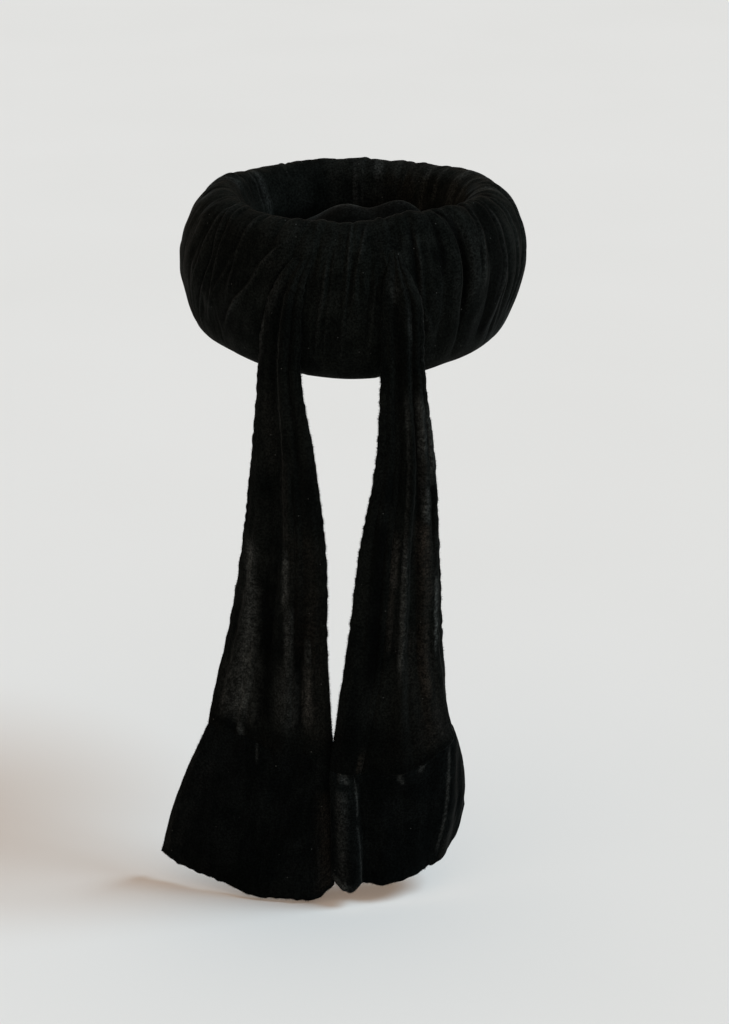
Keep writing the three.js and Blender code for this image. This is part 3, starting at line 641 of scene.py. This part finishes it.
def marked_creases(turn, section, radius):
    """Relief of the creases that stand out, and the painted sheen on their ridges."""
    relief, painted_sheen = np.zeros(turn.shape), np.zeros(turn.shape)
    for low, middle, high, start, end, depth, width, ridge in zip(*CREASES.values()):
        line = np.where(
            section < 0.30,
            mix(low, middle, (section - 0.15) / 0.15),
            mix(middle, high, (section - 0.30) / 0.18),
        )
        soft = mix(mix(low, middle, 0.7), mix(middle, high, 0.3), 0.5)
        line = mix(line, soft, 0.5 * np.exp(-((section - 0.30) / 0.05) ** 2))
        away = (turn - line) * DEG * radius
        window = smooth_window(section, start, end, 0.08)
        relief += window * crease(away, depth, width, ridge)
        # painted sheen on the ridge beside the fold line
        lit = np.exp(-((away - 1.6 * width) / (0.8 * width)) ** 2)
        painted_sheen = np.maximum(painted_sheen, 0.13 * ridge * window * lit)
    return relief, painted_sheen


def tail_edges(outline, level):
    return [keyed_curve(outline["level"], outline[side], level) for side in ("left", "right")]


def under_tails(points):
    """1 where a tail lies on the roll, falling to 0 a little beside it."""
    x, y, level = points[..., 0], points[..., 1], points[..., 2]
    covered = np.zeros(level.shape)
    for outline in (TAIL_LEFT_OUTLINE, TAIL_RIGHT_OUTLINE):
        left, right = tail_edges(outline, np.clip(level, 0, outline["level"][0]))
        inside = ease((x - left + 2.5) / 3) * ease((right + 2.5 - x) / 3) * ease((84 - level) / 9)
        covered = np.maximum(covered, inside * (y < 0))
    return covered


def roll_grid():
    """Even turns round the roll, counted in gathers, against steps round its section."""
    count = len(GATHERS["foot"])
    valleys = np.arange(count + 1)
    foot, crest = (np.append(GATHERS[name], GATHERS[name][0] + 360) for name in ("foot", "crest"))
    mean = (foot + crest) / 2
    even = mean[0] + 360 * np.arange(ROLL_TURNS) / ROLL_TURNS
    fine = ROLL_STEPS - ROLL_HIDDEN_STEPS
    steps = np.concatenate([
        ROLL_SHOWN * np.arange(fine) / fine,
        ROLL_SHOWN + (1 - ROLL_SHOWN) * np.arange(ROLL_HIDDEN_STEPS) / ROLL_HIDDEN_STEPS,
    ])
    place, section = np.meshgrid(np.interp(even, mean, valleys), steps, indexing="ij")
    lean = ease(section / 0.5) * (1 - ease((section - ROLL_SHOWN) / (1 - ROLL_SHOWN)))
    turn = mix(np.interp(place, valleys, foot), np.interp(place, valleys, crest), lean)
    return place, section, turn


def roll_relief(place, section, turn, radius):
    """Relief of the roll's cover, and the painted sheen on the ridges of its marked creases."""
    around = place / len(GATHERS["foot"])
    turns, shares = GATHER_STRENGTH.values()
    strength = np.interp(from_behind(turn), turns, shares)
    deep = ease((section - 0.04) / 0.22) * (1 - 0.55 * ease((section - 0.46) / 0.12))
    ripples = Field(seed=31, across=300, down=9)
    lumps = Field(seed=37, across=30, down=9)
    swells = Field(seed=41, across=13, down=5)
    knots = Field(seed=43, across=96, down=30)
    relief = main_gathers(place, section) * deep * strength
    relief += random_pleats(turn, section, radius) * mix(0.6, 1, ease((strength - 0.3) / 0.4))
    marked, painted_sheen = marked_creases(turn, section, radius)
    relief += marked + ROLL_RIPPLES * (0.4 - np.sqrt(ripples(around, section) ** 2 + 0.02))
    relief += ROLL_LUMPS * lumps(around, section) + ROLL_SWELLS * swells(around, section)
    relief += ROLL_KNOTS * knots(around, section)
    low = smooth_window(section, 0.02, 0.20, 0.08)
    relief += LEFT_FULLNESS * np.exp(-((turn - LEFT_TURN) / LEFT_REACH) ** 2) * low
    return relief, painted_sheen


def make_roll():
    place, section, turn = roll_grid()
    base = roll_point(turn, section)
    normal = roll_normal(turn, section)
    radius = np.linalg.norm(base[..., :2], axis=-1)
    relief, painted_sheen = roll_relief(place, section, turn, radius)
    shown = ease((section - 0.01) / 0.14) * (1 - ease((section - 0.60) / 0.15))
    covered = under_tails(base)
    relief = mix(relief * shown, -0.4, covered)
    points = base + normal * relief[..., None]
    ids = np.arange(points.shape[0] * points.shape[1]).reshape(points.shape[:2])
    ids = np.vstack([np.hstack([ids, ids[:, :1]]), np.hstack([ids[0], ids[0, :1]])[None]])
    # about the real length round the section and along the crest, so that the nap isn't stretched
    length, reach = 330 * section, 120
    places = np.stack([reach * np.sin(turn * DEG), reach * np.cos(turn * DEG), length], -1)
    # painted sheen and painted shade of the roll's bands
    tones = painted_sheen_and_shade(ROLL_PAINTED_SHEEN_AND_SHADE, from_behind(turn), section, radius * DEG, 0.05)
    # painted sheen on the crests of the relief
    crest_sheen = 0.09 * ease((relief - 0.5) / 1.5)
    tones[..., 0] = np.maximum(tones[..., 0], (painted_sheen + crest_sheen) * shown) * (1 - covered)
    # painted shade in the hollows of the relief, weaker over the front
    hollow_shade = 0.75 * ease((-relief - 0.2) / 1.6) * mix(0.35, 1, ease((np.abs(turn) - 10) / 14))
    tones[..., 2] = np.maximum(tones[..., 2], hollow_shade * shown) * (1 - covered)
    piece = make_object("roll_cover", points.reshape(-1, 3), quads(ids).tolist(), places,
                        ROLL_VELVET, "roll_velvet", "brim_roll", tones=tones)


def crown_share(way):
    """How far out the crown's top lies: 1 where it leaves the roll, 0 at the centre."""
    return 1 - np.clip((way - CROWN_SIDE) / (1 - CROWN_SIDE), 0, 1)


def crown_surface(turn, way):
    """The crown's upper face: up along the roll's inner side, then over to the centre."""
    climb = np.clip(way / CROWN_SIDE, 0, 1)
    against = roll_point(turn, mix(CROWN_FOOT_SHARE, CROWN_RIM_SHARE, climb))
    rim = roll_point(turn, CROWN_RIM_SHARE)
    share = crown_share(way)
    x, y = rim[..., 0] * share, rim[..., 1] * share
    lobes = 0
    for px, py, radius, rise in zip(*CROWN_PUFFS.values()):
        away = np.hypot(x - px, y - py) / radius
        lobes = lobes + np.where(away < 1, rise * np.cos(np.clip(away, 0, 1) * math.pi / 2) ** 2, 0)
    level = mix(CROWN_RIM_UP, rim[..., 2], share ** 2)
    z = level + 2 + CROWN_DOME * (1 - share ** 2) + lobes * ease((1 - share) / 0.3)
    tip = np.stack([x, y, z], -1)
    return np.where((way < CROWN_SIDE)[..., None], against, tip)


def make_crown():
    turns = 360 * np.arange(CROWN_TURNS) / CROWN_TURNS
    ways = np.linspace(0, 1, CROWN_STEPS + 1)
    turn, way = np.meshgrid(turns, ways, indexing="ij")
    middle = crown_surface(turn, way)
    for _ in range(3):
        middle[:, 1:-1] = (middle[:, :-2] + 2 * middle[:, 1:-1] + middle[:, 2:]) / 4
    around = np.roll(middle, -1, 0) - np.roll(middle, 1, 0)
    along = np.gradient(middle, axis=1)
    inward = unit(np.cross(along, around))
    share = crown_share(way)
    down = np.array([0.0, 0.0, -1.0])
    inward = unit(mix(down, inward, ease((share - 0.04) / 0.20)[..., None]))
    shirring = Field(seed=53, across=130, down=6)
    dimples = Field(seed=59, across=14, down=14)
    tuck = np.exp(-((share - 1.0) / 0.30) ** 2) * (way > CROWN_SIDE)
    folds = 0.35 - np.abs(shirring(turn / 360, share))
    relief = CROWN_SHIRRING * folds * tuck * ease((1 - share) / 0.06)
    across, ahead = 0.5 + middle[..., 0] / 260, 0.5 + middle[..., 1] / 260
    relief += CROWN_DIMPLES * dimples(across, ahead) * ease((1 - share) / 0.2)
    top = middle + inward * (GAP - relief)[..., None]
    under = middle + inward * (GAP + CROWN_WALL - 0.5 * relief)[..., None]
    top[:, -1] = top[:, -1].mean(0)
    under[:, -1] = under[:, -1].mean(0)
    # the two faces meet at the rim, and each closes in its own tip at the centre
    points = np.concatenate([top[:, :CROWN_STEPS], under[:, :CROWN_STEPS][:, ::-1]], 1)
    width = points.shape[1]
    ids = np.arange(CROWN_TURNS * width).reshape(CROWN_TURNS, width)
    ring = np.vstack([ids, ids[:1]])
    upper = quads(ring[:, :CROWN_STEPS])[:, ::-1]
    lower = quads(ring[:, CROWN_STEPS:])[:, ::-1]
    brim = np.stack([ring[:-1, 0], ring[1:, 0], ring[1:, -1], ring[:-1, -1]], -1)[:, ::-1]
    tips = np.array([top[0, -1], under[0, -1]])
    top_tip, under_tip = CROWN_TURNS * width, CROWN_TURNS * width + 1
    last, first = ring[:, CROWN_STEPS - 1], ring[:, CROWN_STEPS]
    fans = [[int(last[i + 1]), top_tip, int(last[i])] for i in range(CROWN_TURNS)]
    fans += [[int(first[i]), under_tip, int(first[i + 1])] for i in range(CROWN_TURNS)]
    faces = upper.tolist() + lower.tolist() + brim.tolist() + fans
    every = np.vstack([points.reshape(-1, 3), tips])
    places = every * np.array([1, 1, 0.4])
    tones = np.zeros(every.shape)
    # painted sheen on the tops of the puffs
    for x, y, reach, painted_sheen in CROWN_PAINTED_SHEEN:
        away = np.hypot(every[:, 0] - x, 1.5 * (every[:, 1] - y)) / reach
        tones[:, 0] = np.maximum(tones[:, 0], painted_sheen * np.exp(-away ** 2))
    piece = make_object("crown_cloth", every, faces, places, CROWN_VELVET, "crown_velvet",
                        "crown", tones=tones)


def edged(count, turn_share):
    """Even shares from 0 to 1 with more of them inside each turned edge."""
    edge = turn_share * np.array([0, 0.06, 0.22, 0.5])
    inside = np.linspace(turn_share, 1 - turn_share, count)
    return np.concatenate([edge, inside, 1 - edge[::-1]])


def make_cloth(name, grid, wall, round_by, places, tones, material, slot_name, node, hem=0.0):
    """A closed sheet round a grid of points whose rows run down it, each from left to right."""
    down, right = np.gradient(grid, axis=0), np.gradient(grid, axis=1)
    normal = unit(np.cross(right, down))
    across = np.linalg.norm(np.diff(grid, axis=1), axis=-1)
    from_left = np.concatenate([np.zeros((grid.shape[0], 1)), np.cumsum(across, 1)], 1)
    along = np.linalg.norm(np.diff(grid, axis=0), axis=-1)
    from_top = np.concatenate([np.zeros((1, grid.shape[1])), np.cumsum(along, 0)], 0)
    to_right, to_foot = from_left[:, -1:] - from_left, from_top[-1:] - from_top
    nearest = np.minimum(np.minimum(from_left, to_right), np.minimum(from_top, to_foot))
    rounding = np.sqrt(1 - (1 - np.clip(nearest / round_by, 0, 1)) ** 2)
    thick = wall / 2 * rounding * (1 + hem * np.exp(-((to_foot - 3) / 2.2) ** 2))
    front, back = grid - normal * thick[..., None], grid + normal * thick[..., None]
    rows, cols = grid.shape[:2]
    front_ids = np.arange(rows * cols).reshape(rows, cols)
    back_ids = front_ids.copy()
    further_ids = np.arange((rows - 2) * (cols - 2)).reshape(rows - 2, cols - 2)
    back_ids[1:-1, 1:-1] = rows * cols + further_ids
    points = np.vstack([front.reshape(-1, 3), back[1:-1, 1:-1].reshape(-1, 3)])
    cloth = np.vstack([places.reshape(-1, 3), places[1:-1, 1:-1].reshape(-1, 3)])
    # each point's painted sheen and painted shade, for both faces
    pile = np.vstack([tones.reshape(-1, 3), tones[1:-1, 1:-1].reshape(-1, 3)])
    faces = quads(front_ids)[:, ::-1].tolist() + quads(back_ids).tolist()
    return make_object(name, points, faces, cloth, material, slot_name, node, tones=pile)


def roll_face(x, level):
    """A point of the roll's outer side, its widest curve or the curve above it at a level."""
    def turn_at(share):
        across = round_curve(ROLL_SECTION["across"], share)
        reach = np.abs(x) / (HEAD_X + across * (ROLL_WIDTH / 2 - HEAD_X))
        return np.degrees(np.arcsin(np.clip(reach, 0, 1))) * np.sign(x)
    low = np.full(x.shape, WIDEST_SHARE)
    above = level > roll_point(turn_at(low), low)[..., 2]
    high = np.where(above, CREST_SHARE, WIDEST_SHARE)
    for _ in range(22):
        middle = (low + high) / 2
        under = roll_point(turn_at(middle), middle)[..., 2] < level
        low, high = np.where(under, middle, low), np.where(under, high, middle)
    share = (low + high) / 2
    turn = turn_at(share)
    return roll_point(turn, share), roll_normal(turn, share)


def cuff_point(lines, share, down):
    value = {name: open_curve(lines[name], share) for name in lines}
    swell = np.sin(np.pi * down)
    rib = value["rib"] * ease(down / 0.35)
    return np.stack([
        mix(value["seam_x"], value["hem_x"], down) + value["bow"] * swell,
        mix(value["seam_y"], value["hem_y"], np.maximum(down, 0) ** 1.15) - rib,
        mix(value["seam_z"], value["hem_z"], down),
    ], -1)


def tail_folds(folds, share, level, top, foot):
    to_waist, to_seam = np.clip((top - level) / top, 0, 1), np.clip(level / foot, 0, 1)
    root, waist, seam = (
        keyed_curve(folds["share"], folds[name], share) for name in ("root", "waist", "seam")
    )
    return np.where(level > 0, mix(root, waist, to_waist), mix(waist, seam, to_seam))


def make_tail(side, outline, folds, pleats, bands, cuff_lines, seed):
    top, foot = outline["level"][0], outline["level"][-1]
    shares = edged(TAIL_COLUMNS, 0.03)
    steps = np.linspace(0, 1, TAIL_ROWS + 1)
    share, along = np.meshgrid(shares, steps, indexing="xy")
    level = mix(top, foot, along ** 1.15)
    flutter = Field(seed=seed, across=40, down=110)
    left, right = tail_edges(outline, level)
    left += 0.4 * flutter(0.1, along)
    right += 0.4 * flutter(0.6, along)
    width = right - left
    drawn = np.clip(width / FULL_FOLD_WIDTH, 0, 1) ** 1.5
    sway = Field(seed=seed + 1, across=9, down=5)
    hang = ease((40 - level) / 120)
    folded = np.clip(share + 0.022 * sway(share * 0.8, along) * hang * np.sin(np.pi * share), 0, 1)
    fold = drawn * tail_folds(folds, folded, level, top, foot)
    deepest = fold.min(axis=1, keepdims=True)
    # the inner edge lies close on the roll, the outer edge stands off it
    inner_share = share if side == "left" else 1 - share
    close = ease((inner_share - 0.45) / 0.5) * ease((level - 5) / 30)
    standing_off = ease((top - level) / 25) * (1 - 0.8 * close)
    clear = mix(ROOT_CLEAR, TAIL_CLEAR, standing_off) + TAIL_WALL / 2
    blend = ease((SEAM_BLEND - (level - foot)) / SEAM_BLEND)
    fade = ease((level - foot) / SEAM_FADE)
    face, normal = roll_face(mix(left, right, share), level)
    point = face.copy()
    point[..., 2] = np.minimum(face[..., 2], level)
    point = point + normal * clear[..., None]
    seam = cuff_point(cuff_lines, share, 0.0)
    seam[..., 2] -= SEAM_SUNK
    point = mix(point, seam, blend[..., None])

    # thin creases, ripples along the cloth, and puckers where it is gathered into the seam
    fine = np.zeros(share.shape)
    for start_share, end_share, start, end, depth, wide, ridge in zip(*pleats.values()):
        line = mix(start_share, end_share, ease((top - level) / (top - foot)))
        window = smooth_window(-level, -start, -end, 22)
        fine += window * crease((share - line) * width, depth, wide, ridge)
    ripples = Field(seed=seed + 2, across=46, down=6)
    lumps = Field(seed=seed + 3, across=22, down=14)
    fine += TAIL_RIPPLES * (0.4 - np.sqrt(ripples(share * 0.9, along) ** 2 + 0.03))
    fine += TAIL_LUMPS * hang * lumps(share * 0.9, along)
    inner = ease(np.minimum(share, 1 - share) / 0.05)
    fine *= inner * mix(0.35, 1, ease((top - level) / 30))
    near_seam = ease((level - foot) / 3) * ease((34 - (level - foot)) / 30)
    puckers = Field(seed=seed + 4, across=60, down=2)
    fine += TAIL_PUCKERS * near_seam * inner * puckers(share * 0.9, along)
    out = fade * (fold - deepest * (1 - blend)) + ease((level - foot) / 6) * fine
    point = point + normal * out[..., None]
    # the root is sewn into the cover of the roll
    sunk = ROOT_SUNK * ease((ROOT_LENGTH - (top - level)) / ROOT_LENGTH)
    point = point - normal * sunk[..., None]

    places = np.stack([(share - 0.5) * width, np.full(share.shape, 40.0), -level], -1)
    # painted sheen and painted shade of the tail's bands
    tones = painted_sheen_and_shade(bands, share, level, width, 16)
    name = "tail_" + side
    cloth = make_cloth(name + "_cloth", point, TAIL_WALL, 1.1, places, tones, TAIL_VELVET,
                       "tail_velvet", name)
    # no pile stands out where the root lies on the roll
    free = slice(TAIL_ROWS // 12, None)
    borders = [(point[free, 0], point[free, 4]), (point[free, -1], point[free, -5])]
    return cloth, make_pile(name + "_pile", borders, seed + 7, TAIL_VELVET, "tail_velvet")


def make_cuff(side, lines, bands, seed):
    share, down = np.meshgrid(edged(CUFF_ACROSS, 0.02), edged(CUFF_DOWN, 0.02), indexing="xy")
    waver = Field(seed=seed + 5, across=44, down=30)
    point = cuff_point(
        lines,
        share + 0.004 * waver(0.5, down) * (2 * share - 1),
        down * (1 + 0.007 * waver(share * 0.9, 0.5)),
    )
    right, below = np.gradient(point, axis=1), np.gradient(point, axis=0)
    outward = unit(np.cross(below, right))
    swells = Field(seed=seed, across=9, down=3)
    lumps = Field(seed=seed + 1, across=20, down=7)
    grain = Field(seed=seed + 2, across=60, down=16)
    inner = ease(np.minimum(share, 1 - share) / 0.04)
    relief = CUFF_SWELLS * swells(share * 0.8, down) * np.sin(np.pi * down) ** 0.5
    relief += CUFF_LUMPS * lumps(share * 0.9, down) + CUFF_GRAIN * grain(share * 0.9, down)
    puckers = Field(seed=seed + 3, across=44, down=2)
    relief += CUFF_PUCKERS * puckers(share * 0.9, down) * np.exp(-(down / 0.12) ** 2)
    relief *= inner * ease(down / 0.04) * ease((1.0 - down) / 0.02)
    point = point + outward * relief[..., None]
    span = np.linalg.norm(point[:, -1] - point[:, 0], axis=-1)[:, None]
    places = np.stack([(share - 0.5) * span, np.full(share.shape, 80.0), 110 * down], -1)
    # painted sheen of the cuff's bands
    tones = painted_sheen_and_shade(bands, share, down, span, 0.05)
    name = "cuff_" + side
    cloth = make_cloth(name + "_cloth", point, CUFF_WALL, 1.8, places, tones, CUFF_VELVET,
                       "cuff_velvet", name, hem=0.35)
    borders = [(point[:, 0], point[:, 4]), (point[:, -1], point[:, -5]), (point[-1], point[-5])]
    return cloth, make_pile(name + "_pile", borders, seed + 7, CUFF_VELVET, "cuff_velvet")


make_roll()
make_crown()
tail_left, tail_left_pile = make_tail(
    "left", TAIL_LEFT_OUTLINE, TAIL_LEFT_FOLDS, TAIL_LEFT_PLEATS, TAIL_LEFT_PAINTED_SHEEN_AND_SHADE,
    CUFF_LEFT_LINES, 101)
tail_right, tail_right_pile = make_tail(
    "right", TAIL_RIGHT_OUTLINE, TAIL_RIGHT_FOLDS, TAIL_RIGHT_PLEATS, TAIL_RIGHT_PAINTED_SHEEN_AND_SHADE,
    CUFF_RIGHT_LINES, 131)
cuff_left, cuff_left_pile = make_cuff("left", CUFF_LEFT_LINES, CUFF_LEFT_PAINTED_SHEEN, 151)
cuff_right, cuff_right_pile = make_cuff("right", CUFF_RIGHT_LINES, CUFF_RIGHT_PAINTED_SHEEN, 171)


def make_stage():
    """A plain pale floor, level with the lowest hem."""
    half = 30
    level = min(cad_box[0].z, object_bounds()[0].z)
    mesh = bpy.data.meshes.new("floor")
    corners = [(x * half, y * half, level) for x, y in ((-1, -1), (1, -1), (1, 1), (-1, 1))]
    mesh.from_pydata(corners, [], [(0, 1, 2, 3)])
    floor = bpy.data.objects.new("floor", mesh)
    add(floor)
    material = bpy.data.materials.new("pale_paper")
    material.use_nodes = True
    tree = material.node_tree
    link = tree.links.new
    shader = tree.nodes["Principled BSDF"]
    shader.inputs["Roughness"].default_value = 0.9
    shader.inputs["Specular IOR Level"].default_value = 0.1
    noise = tree.nodes.new("ShaderNodeTexNoise")
    noise.inputs["Scale"].default_value = 3.0
    tones = tree.nodes.new("ShaderNodeValToRGB")
    tones.color_ramp.elements[0].color = (0.79, 0.79, 0.78, 1)
    tones.color_ramp.elements[1].color = (0.82, 0.82, 0.815, 1)
    link(tree.nodes.new("ShaderNodeTexCoord").outputs["Object"], noise.inputs["Vector"])
    link(noise.outputs["Fac"], tones.inputs["Fac"])
    link(tones.outputs["Color"], shader.inputs["Base Color"])
    mesh.materials.append(material)


def make_light(name, kind, direction, energy, colour, **settings):
    """A lamp that shines on the hat; the direction is the way from the hat to the lamp."""
    lamp = bpy.data.lights.new(name, kind)
    lamp.energy = energy
    lamp.color = colour
    for key, value in settings.items():
        setattr(lamp, key, value)
    holder = bpy.data.objects.new(name, lamp)
    holder.location = direction
    middle_of_hat = Vector((0, 0, -0.1))
    holder.rotation_euler = (Vector(direction) - middle_of_hat).to_track_quat("Z", "Y").to_euler()
    add(holder)


def make_lights():
    world = bpy.data.worlds.new("soft_room")
    world.use_nodes = True
    background = world.node_tree.nodes["Background"]
    background.inputs["Color"].default_value = (1.0, 0.785, 0.63, 1)
    background.inputs["Strength"].default_value = 0.575
    bpy.context.scene.world = world
    make_light("key", "SUN", (1.3, -0.15, 1.45), 2.38, (0.64, 0.86, 1.0), angle=28 * DEG)


def make_camera():
    """The photograph's view: from behind, a little above the hat."""
    camera = bpy.data.cameras.new("camera")
    camera.sensor_fit = "VERTICAL"
    camera.sensor_width = camera.sensor_height = 36
    camera.lens = 113.08
    camera.clip_end = 100
    holder = bpy.data.objects.new("camera", camera)
    holder.location = (0.00855, -2.12701, 0.61598)
    holder.rotation_euler = ((90 - 19.333) * DEG, 0, 0)
    add(holder)
    bpy.context.scene.camera = holder


make_stage()
make_lights()
make_camera()
bpy.context.scene.view_settings.view_transform = "Standard"
